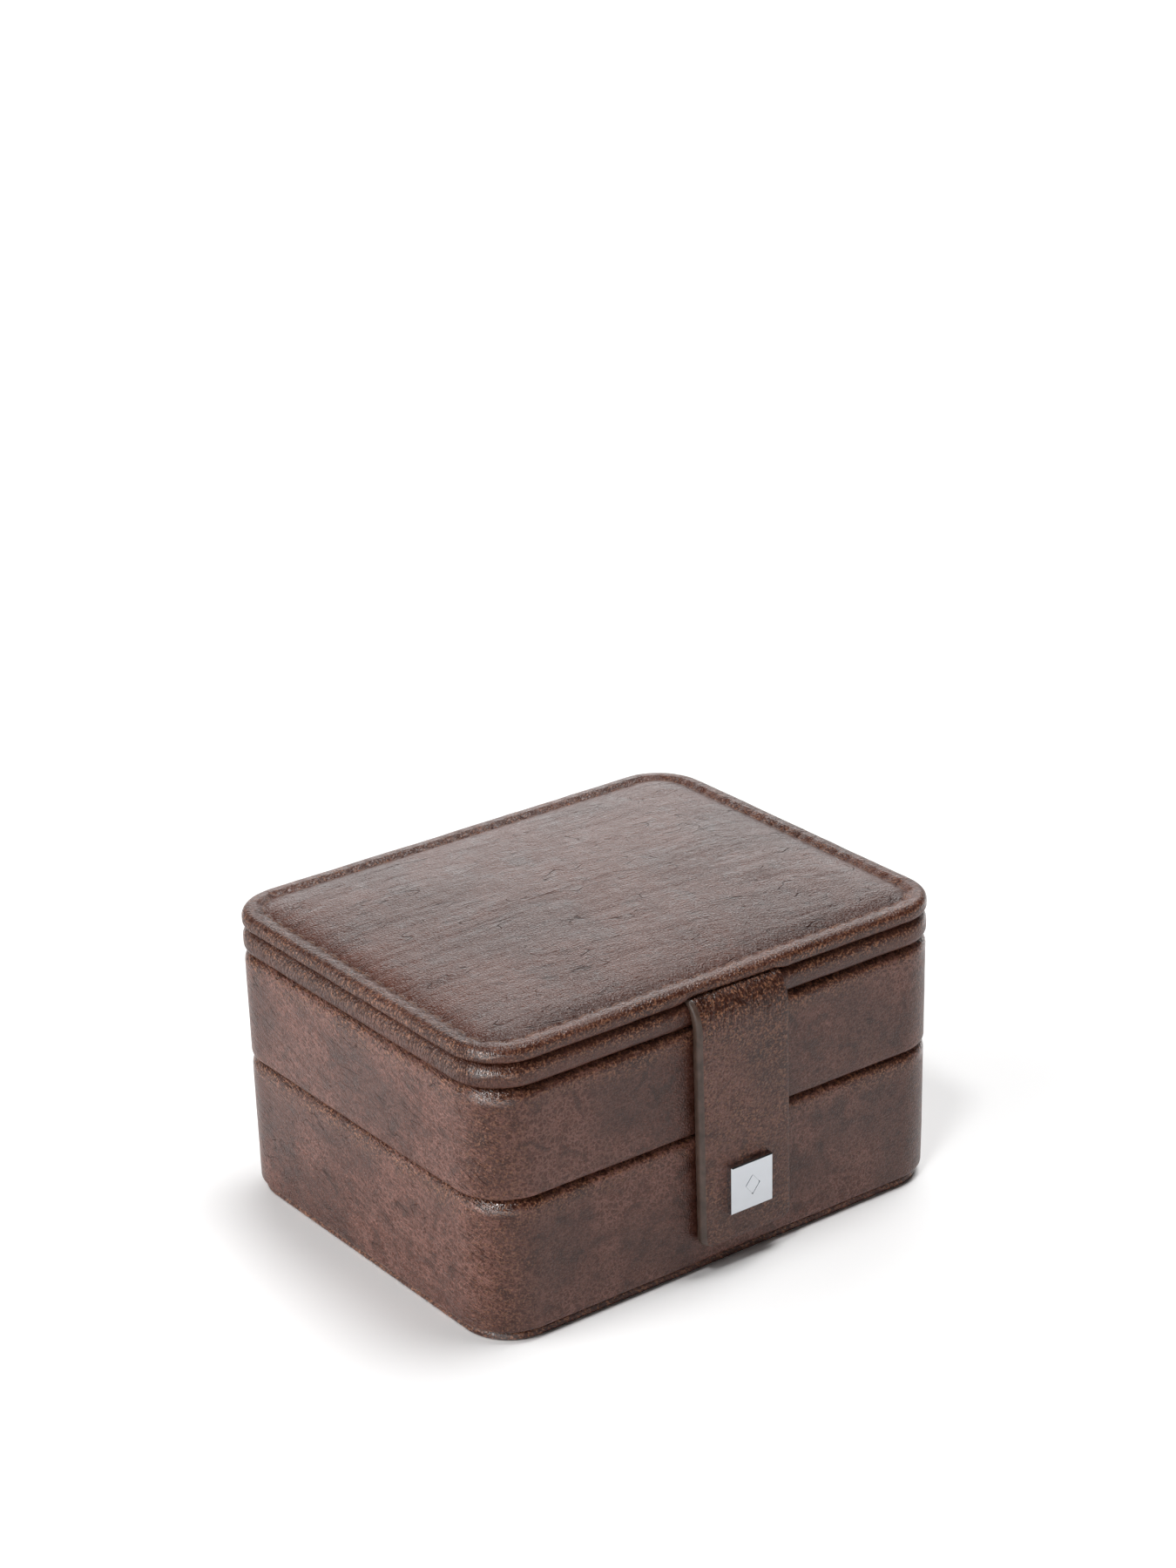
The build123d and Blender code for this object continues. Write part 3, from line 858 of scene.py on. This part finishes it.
def gather(roll, profile, high_z):
    """Draws the roll's inner slope down at each end of every stitch, so that it swells between them."""
    run = lengths(outline(STITCH_INSET, COVER_DENSITY))
    phase = run[:-1] / run[-1] * int(run[-1] / STITCH_PITCH)
    swell = np.abs(np.sin(math.pi * phase)) ** 0.7 - 0.6
    inset, height = profile.T
    slope = np.clip((inset - 2.6) / 1.6, 0, 1) * np.clip((STITCH_INSET + 0.4 - inset) / 0.9, 0, 1)
    slope *= height > high_z - 2 * STITCH_DEPTH
    return roll + (GATHER_DEPTH * np.outer(slope, swell))[..., None] * (0, 0, 1)


def past_stitches(x, y):
    """How far each point lies outside the stitch line, less than 0 on the pad."""
    corner = CORNER - STITCH_INSET
    dx = np.abs(x) - (PAD_REACH_X - corner)
    dy = np.abs(y) - (PAD_REACH_Y - corner)
    outside = np.hypot(np.maximum(dx, 0), np.maximum(dy, 0))
    return outside + np.minimum(np.maximum(dx, dy), 0) - corner


def pad_height(x, y, crown):
    """Height of the pad above its stitch line."""
    edge = 1 - np.exp(np.minimum(past_stitches(x, y), 0) / 3.2)
    return edge * 0.42 * PAD_RISE + crown(x, y) * 0.78 * PAD_RISE


def simulated_crown():
    """The pad's dome: a sheet held along the stitch line and pushed up by foam, as cloth under pressure."""
    columns = int(2 * PAD_REACH_X / SHEET_CELL) + 1
    rows = int(2 * PAD_REACH_Y / SHEET_CELL) + 1
    xs = np.linspace(-PAD_REACH_X, PAD_REACH_X, columns)
    ys = np.linspace(-PAD_REACH_Y, PAD_REACH_Y, rows)
    points = np.array([(x, y, 0.0) for y in ys for x in xs])
    sheet = make_object("pad_sheet", points, grid_faces(rows, columns, False, False)[0])
    held = sheet.vertex_groups.new(name="held")
    at_edge = np.nonzero(past_stitches(points[:, 0], points[:, 1]) > -0.5)[0]
    held.add(at_edge.tolist(), 1.0, "REPLACE")
    settings = sheet.modifiers.new("foam", "CLOTH").settings
    settings.quality = 6
    settings.mass = 0.05
    settings.tension_stiffness = 40
    settings.compression_stiffness = 40
    settings.bending_stiffness = 4.0
    settings.use_pressure = True
    settings.uniform_pressure_force = 1.6
    settings.vertex_group_mass = "held"
    settings.effector_weights.gravity = 0
    scene = bpy.context.scene
    for step in range(SHEET_FRAMES):
        scene.frame_set(step + 1)
    result = sheet.evaluated_get(bpy.context.evaluated_depsgraph_get()).to_mesh()
    heights = np.array([abs(v.co.z) for v in result.vertices]).reshape(rows, columns)
    scene.frame_set(1)
    bpy.data.objects.remove(sheet)
    heights = np.pad(heights / max(heights.max(), 1e-9), 1)

    def weights(t):
        """Shares of four neighbours in a smooth curve past them."""
        return np.array([(1 - t) ** 3, 3 * t**3 - 6 * t**2 + 4, 3 * (t + t**2 - t**3) + 1, t**3]) / 6

    def cell_of(place, reach, count):
        at = np.clip((place + reach) / (2 * reach) * (count - 1), 0, count - 1.001)
        return at.astype(int), weights(at - at.astype(int))

    def crown(x, y):
        i, down = cell_of(y, PAD_REACH_Y, rows)
        j, over = cell_of(x, PAD_REACH_X, columns)
        return sum(down[m] * over[n] * heights[i + m, j + n] for m in range(4) for n in range(4))

    return crown


def long_wrinkles(points):
    """Shallow folds that run along the pad, fading and joining like drawn leather."""
    values = []
    for x, y, _ in points.reshape(-1, 3):
        drift = y + noise.noise(Vector((x / 45, y / 30, 3.1))) * 5
        fine = noise.noise(Vector((x / 34, drift / 2.1, 7.7)))
        broad = noise.noise(Vector((x / 60, drift / 6.0, 1.3)))
        here = 0.5 + 0.5 * noise.noise(Vector((x / 30, y / 18, 9.2)))
        values.append(max(0.0, 1 - abs(fine) * 5.5) * here + 0.5 * broad)
    return np.array(values).reshape(points.shape[:-1])


def pad_rise(pad, insets):
    """Height of the crowned, wrinkled pad at flat points, each that far in from the case's outline."""
    crown = simulated_crown()
    fade = np.clip((insets - STITCH_INSET - 0.5) / 5.0, 0, 1)
    # Skewed, so that the noise's own grid doesn't show on the pad
    skew = np.array([[0.83, 0.51, 0.31], [-0.47, 0.85, 0.37], [0.0, 0.0, 0.0]])
    uneven = 0.18 * relief(pad @ skew, 17.0, 51) + 0.12 * relief(pad * (0.4, 1, 0) @ skew, 7.0, 54)
    return pad_height(pad[..., 0], pad[..., 1], crown) + fade * (uneven - 0.16 * long_wrinkles(pad))


def make_cover():
    """The padded cover: a rolled edge, a stitched valley, and a crowned pad."""
    low_z = COVER_LOW[2]
    high_z = low_z + ROLL_HEIGHT
    valley = high_z - STITCH_DEPTH
    edge = rounded(
        [
            (CORNER, low_z),
            (0.0, low_z, 0.7 * ROLL_ROUND),
            (0.0, high_z, ROLL_ROUND),
            (3.6, high_z, 1.2),
            (STITCH_INSET - 0.3, valley, 0.5),
            (STITCH_INSET + 0.5, valley),
        ],
        step=0.55,
        closed=False,
    )
    near = np.linspace(STITCH_INSET + 0.9, 16.0, 22)
    far = np.linspace(17.0, HALF_DEPTH - 2.5, 44)
    inner = np.concatenate([near, far])
    profile = np.vstack([edge, np.column_stack([inner, np.full(len(inner), valley)])])
    rings = ring_grid(profile, COVER_DENSITY)
    rows, columns = rings.shape[:2]
    first = len(edge) - 1
    outward = normals_of(rings)[:first]
    roll = gather(strap_lift(rings[:first]), profile[:first], high_z)
    uneven = 0.16 * (0.7 * relief(roll, 12.0, 41) + 0.3 * relief(roll, 3.5, 44))
    rings[:first] = roll + outward * uneven[..., None]
    rings[first:, :, 2] += pad_rise(rings[first:], profile[first:, :1])
    points = rings.reshape(-1, 3)
    faces, corners = grid_faces(rows, columns, False, True)
    rolled = first * columns
    uvs = unwrapped(corners[:rolled], lengths(outline(0, COVER_DENSITY)), distances(profile))
    under, top = end_caps(rows, columns)
    faces += [top, under]
    uvs += [points[face][:, :2] for face in faces[rolled:]]
    kinds = [0] * rolled + [1] * (len(faces) - rolled - 1) + [0]
    wear_and_shade = roll_wear_and_shade(low_z + ROLL_HEIGHT * 0.62)(rings)
    wear_and_shade[first:] = 0
    crease = wall_crease(rings)
    crease[first:] = 1
    made = make_object("padded_cover", points, faces, uvs, wear_and_shade, crease)
    finish_piece(made, "lid", ["lid_cover", "lid_foam"], ROLL_LEATHER)
    made.data.materials.append(PAD_LEATHER)
    made.data.polygons.foreach_set("material_index", kinds)


def make_stitches():
    """Separate stitches along the valley, each a short thread that dips into the leather at both ends."""
    path = outline(STITCH_INSET)
    run = lengths(path)
    closed = np.vstack([path, path[:1]])
    count = int(run[-1] / STITCH_PITCH)
    length = 0.76 * STITCH_PITCH
    level = COVER_LOW[2] + ROLL_HEIGHT - STITCH_DEPTH + 0.05
    rings, around = 9, 8
    thread_faces = grid_faces(rings, around, False, True)[0] + end_caps(rings, around)
    points = []
    faces = []

    def at_distance(distance):
        return np.array([np.interp(distance % run[-1], run, closed[:, a]) for a in range(2)])

    for number in range(count):
        faces += [[len(points) + i for i in face] for face in thread_faces]
        middle = (number + 0.5) * run[-1] / count
        tilt = 0.16 + 0.05 * noise.noise(Vector((number * 0.7, 0.3, 0.9)))
        for t in np.linspace(-0.5, 0.5, rings):
            here = at_distance(middle + t * length)
            forward = at_distance(middle + t * length + 0.4) - here
            forward /= np.linalg.norm(forward)
            across = np.array([-forward[1], forward[0]])
            centre = here + across * t * length * tilt
            height = level + 0.30 * math.cos(math.pi * t) - 0.28
            radius = STITCH_THICKNESS * (0.72 + 0.28 * math.cos(math.pi * t * 1.7))
            for angle in 2 * math.pi * np.arange(around) / around:
                side = centre + across * radius * math.cos(angle)
                points.append((*side, height + 0.8 * radius * math.sin(angle)))
    made = make_object("lid_stitches", points, faces)
    finish_piece(made, "lid", ["lid_stitching"], STITCH_THREAD)


def make_lid_panel():
    """The lower roll of the lid."""
    node = "lid_panel_leather"
    (_, _, low), (_, _, high) = span(node)
    under, over, wall = 12.0, 15.0, 1.3
    profile = rounded(
        [
            (under, low),
            (0.0, low, 0.6 * PANEL_ROUND),
            (0.0, high, PANEL_ROUND),
            (over, high),
            (over, high - PANEL_SKIN),
            (wall, high - PANEL_SKIN),
            (wall, low + PANEL_SKIN),
            (under, low + PANEL_SKIN),
        ]
    )
    marks = {"wear_and_shade": roll_wear_and_shade((low + high) / 2 + 1.3), "crease": wall_crease}
    wrap_piece("lid_panel_edge", profile, "lid", node, ROLL_LEATHER, bumps=0.14, seed=61, **marks)


# ---- strap


def strap_path():
    """The strap's centre line, from inside the lid to its free end, as (y, z, thickness, angle).

    The angle is the way that its face looks, from 90 degrees for up to 0 for forward.
    """
    thickness = STRAP_BACK_Y - STRAP_LOW[1]
    drop_y = STRAP_BACK_Y - thickness / 2
    root_z = COVER_LOW[2] + 0.5
    centre_y = drop_y + STRAP_BEND_BACK
    centre_z = root_z - STRAP_BEND_DROP
    rows = []
    for y in np.linspace(STRAP_ROOT_Y, centre_y, 12, endpoint=False):
        rows.append((y, root_z, STRAP_ROOT_THICKNESS, 90.0))
    for turn in np.linspace(90, 0, 25):
        back = math.cos(math.radians(turn))
        up = math.sin(math.radians(turn))
        full = np.clip((90 - turn) / STRAP_FULL_ANGLE, 0, 1) ** 0.8
        thick = STRAP_ROOT_THICKNESS + (thickness - STRAP_ROOT_THICKNESS) * full
        angle = math.degrees(math.atan2(up * STRAP_BEND_BACK, back * STRAP_BEND_DROP))
        rows.append((centre_y - STRAP_BEND_BACK * back, centre_z + STRAP_BEND_DROP * up, thick, angle))
    for z in np.linspace(centre_z, STRAP_LOW[2], 60)[1:]:
        rows.append((drop_y, z, thickness, 0.0))
    return np.array(rows)


def make_strap():
    """One leather strip from inside the lid, over the lower roll and down the front."""
    path = strap_path()
    half = (STRAP_HIGH[0] - STRAP_LOW[0]) / 2
    end_z = STRAP_LOW[2]
    face_steps, edge_steps = 30, 8
    face = np.linspace(STRAP_ROUND - half, half - STRAP_ROUND, face_steps)
    crown = 0.10 * (1 - (face / half) ** 2)
    groove = -0.10 * np.exp(-(((half - 1.9 - face) / 0.45) ** 2))
    rows = []
    for y, z, thick, angle in path:
        edge_round = min(STRAP_ROUND, thick / 2 - 0.05)
        x, height = strip_section(face, half, edge_round, thick, edge_steps)
        height[:face_steps] += crown + (groove if angle < 40 else 0.0)
        narrow = STRAP_CORNER - math.sqrt(STRAP_CORNER**2 - max(STRAP_CORNER - (z - end_z), 0) ** 2)
        x = x * (half - narrow) / half
        lean = 0.1 - STRAP_LEAN * np.clip((z - end_z) / (path[0, 1] - end_z), 0, 1)
        forward = height * math.cos(math.radians(angle))
        up = height * math.sin(math.radians(angle))
        rows.append(np.column_stack([STRAP_X + lean + x, y - forward, z + up]))
    grid = np.array(rows)
    grid = pushed(grid, 0.10 * relief(grid, 11.0, 71) + 0.05 * relief(grid, 3.0, 73))
    bend = np.clip((grid[..., 2] - 62.0) / 12.0, 0, 1)
    wear_and_shade = np.clip(0.25 + 0.6 * bend + 0.35 * relief(grid, 7.0, 75), 0, 1)
    u = lengths(np.column_stack([x, height]))
    v = -distances(path[:, :2])
    nodes = ["strap_root", "strap_face", "strap_backing"]
    made = strip_piece("strap", grid, u, v, wear_and_shade, bend, nodes, STRAP_LEATHER, flip=True)
    made.data.materials.append(EDGE_PAINT)
    painted = np.zeros(grid.shape[1], int)
    painted[face_steps + 2 : face_steps + edge_steps - 1] = 1
    painted[1 - edge_steps :] = 1
    kinds = np.tile(painted | np.roll(painted, -1), len(path) - 1).tolist() + [1, 1]
    made.data.polygons.foreach_set("material_index", kinds)
    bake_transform(made)


# ---- spine


def spine_strip(name, low_z, high_z, joint, nodes, tuck=0.0):
    """One leather strip up the back of the case, creased where the joint turns.

    With a tuck, its top turns forward under the lid's cover and runs in that far.
    """
    (_, back, _), (half, proud, _) = span("spine_base_leaf")
    thick = proud - back
    steps = int((high_z - low_z) / 0.8)
    turn_z = high_z - SPINE_TURN if tuck else high_z
    path = [(proud, z) for z in np.linspace(low_z, turn_z, steps)]
    if tuck:
        turn_y = proud - SPINE_TURN
        for a in np.linspace(0, math.pi / 2, 8)[1:]:
            path.append((turn_y + SPINE_TURN * math.cos(a), turn_z + SPINE_TURN * math.sin(a)))
        path += [(y, high_z) for y in np.linspace(turn_y, proud - tuck, 12)[1:]]
    path = np.array(path)
    ahead = np.gradient(path, axis=0)
    ahead /= np.linalg.norm(ahead, axis=1, keepdims=True)
    inward = np.column_stack([-ahead[:, 1], ahead[:, 0]])
    face = np.linspace(half - SPINE_ROUND, SPINE_ROUND - half, 60)
    x, height = strip_section(face, half, SPINE_ROUND, thick, 5)
    depth = thick / 2 - height
    grid = np.array([np.column_stack([x, at + np.outer(depth, way)]) for at, way in zip(path, inward)])
    u = lengths(grid[0][:, :2])
    v = distances(path) + low_z
    grid = pushed(grid, 0.06 * (relief(grid, 10.0, 81) - 1))
    y, z = HINGES[joint]["pos_m"][1:]
    near = np.clip(1 - np.abs(grid[..., 2] - z / MM) / 4.0, 0, 1)
    made = strip_piece(name, grid, u, v, near * 0.8, near, nodes, SPINE_LEATHER)
    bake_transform(made)


def make_spine():
    base_low, _ = span("spine_base_leaf")
    tray_low, tray_high = span("spine_tray_leaf")
    lid_low, lid_high = span("spine_lid_leaf")
    middle = (tray_low[2] + tray_high[2]) / 2
    nodes = ["spine_tray_leaf", "spine_lid_leaf"]
    tuck = lid_high[1] - lid_low[1]
    spine_strip("spine_lower", base_low[2], middle, "tray_hinge", ["spine_base_leaf"])
    spine_strip("spine_upper", middle, lid_high[2], "lid_hinge", nodes, tuck)


# ---- carried-over nodes


def paint_nodes():
    """Better materials for the CAD nodes that stay."""
    looks = {
        "front_plate": PLATE_METAL,
        "closure_keeper": STEEL,
        "strap_magnet": STEEL,
        "mirror": SILVERED,
        "lid_foam": FOAM,
        "mirror_bezel": LINING,
        "lid_panel_lining": LINING,
    }
    for name, node in frame["nodes"].items():
        node.data.materials.clear()
        node.data.materials.append(looks.get(name, BOARD))


# ---- stage


CAMERA_AZIMUTH = -0.63615
CAMERA_ELEVATION = 0.47237
CAMERA_ROLL = -0.02655
CAMERA_DISTANCE = 0.90587
CAMERA_TARGET_Z = 0.03564
LENS = 77.34
SHIFT_UP = 0.175
FLOOR_SIDE = 6.0
KEY_DIRECTION = (0.26, -0.05, 0.96)
KEY_SPREAD = 26.0
KEY_STRENGTH = 2.0
GLINT_DIRECTION = (-0.41, -0.22, 0.86)
GLINT_SPREAD = 8.0
GLINT_STRENGTH = 0.70
WHITE = (1.0, 1.0, 1.0, 1.0)
WORLD_BASE = 0.02
WORLD_LEFT_WAY = (-0.95, 0.30, 0.06)
WORLD_LEFT = 4.6
WORLD_BACK_WAY = (0.53, 0.72, 0.35)
WORLD_BACK = 3.0


def make_camera():
    """The camera, at the picture's angle, with the case low in a tall frame."""
    e, a = CAMERA_ELEVATION, CAMERA_AZIMUTH
    back = Vector((math.sin(a) * math.cos(e), -math.cos(a) * math.cos(e), math.sin(e)))
    right = (-back).cross(Vector((0, 0, 1))).normalized()
    up = right.cross(-back)
    c, s = math.cos(CAMERA_ROLL), math.sin(CAMERA_ROLL)
    right, up = right * c + up * s, up * c - right * s
    data = bpy.data.cameras.new("camera")
    data.lens = LENS
    data.sensor_width = 36.0
    data.shift_y = SHIFT_UP
    camera = add_object("camera", data)
    place = Vector((0, 0, CAMERA_TARGET_Z)) + back * CAMERA_DISTANCE
    camera.matrix_world = Matrix.Translation(place) @ Matrix((right, up, back)).transposed().to_4x4()
    bpy.context.scene.camera = camera


def make_floor():
    mesh = bpy.data.meshes.new("floor")
    corners = [(x * FLOOR_SIDE, y * FLOOR_SIDE, 0) for x, y in ((-1, -1), (1, -1), (1, 1), (-1, 1))]
    mesh.from_pydata(corners, [], [(0, 1, 2, 3)])
    floor = add_object("floor", mesh)
    g = Graph("pale_floor")
    g.set(base_color=(0.97, 0.97, 0.97), roughness=0.9)
    mesh.materials.append(g.material)


def sun(name, direction, spread, strength):
    """A soft distant light, from the way that direction points to, spread over that many degrees."""
    data = bpy.data.lights.new(name, "SUN")
    data.angle = math.radians(spread)
    data.energy = strength
    light = add_object(name, data)
    light.rotation_mode = "QUATERNION"
    light.rotation_quaternion = Vector(direction).to_track_quat("Z", "Y")


def make_lights():
    """A dim surround with a bright part on the left and one behind, which the camera sees as plain white.

    Besides it there is a soft high key from the right, and a weak, narrow glint over the near corner.
    """
    world = bpy.data.worlds.new("studio")
    bpy.context.scene.world = world
    g = Nodes(world)
    where = g.add("ShaderNodeTexCoord", output="Generated")

    def glow(way, low, high, to_low, to_high):
        facing = g.vector("DOT_PRODUCT", where, Vector(way).normalized(), "Value")
        return g.ramp(facing, low, high, to_low, to_high)

    left = glow(WORLD_LEFT_WAY, 0.62, 0.97, 0.0, WORLD_LEFT)
    behind = glow(WORLD_BACK_WAY, 0.84, 0.995, WORLD_BASE, WORLD_BACK)
    lit = g.add("ShaderNodeBackground", {"Color": WHITE, "Strength": g.plus(left, behind)})
    plain = g.add("ShaderNodeBackground", {"Color": WHITE, "Strength": 1.0})
    seen = g.add("ShaderNodeLightPath", output="Is Camera Ray")
    g.end("ShaderNodeOutputWorld", g.add("ShaderNodeMixShader", {0: seen, 1: lit, 2: plain}))
    sun("key", KEY_DIRECTION, KEY_SPREAD, KEY_STRENGTH)
    sun("glint", GLINT_DIRECTION, GLINT_SPREAD, GLINT_STRENGTH)
    bpy.context.scene.view_settings.view_transform = "Standard"


paint_nodes()
make_camera()
make_floor()
make_lights()
make_case()
make_interior()
make_cover()
make_stitches()
make_lid_panel()
make_strap()
make_spine()
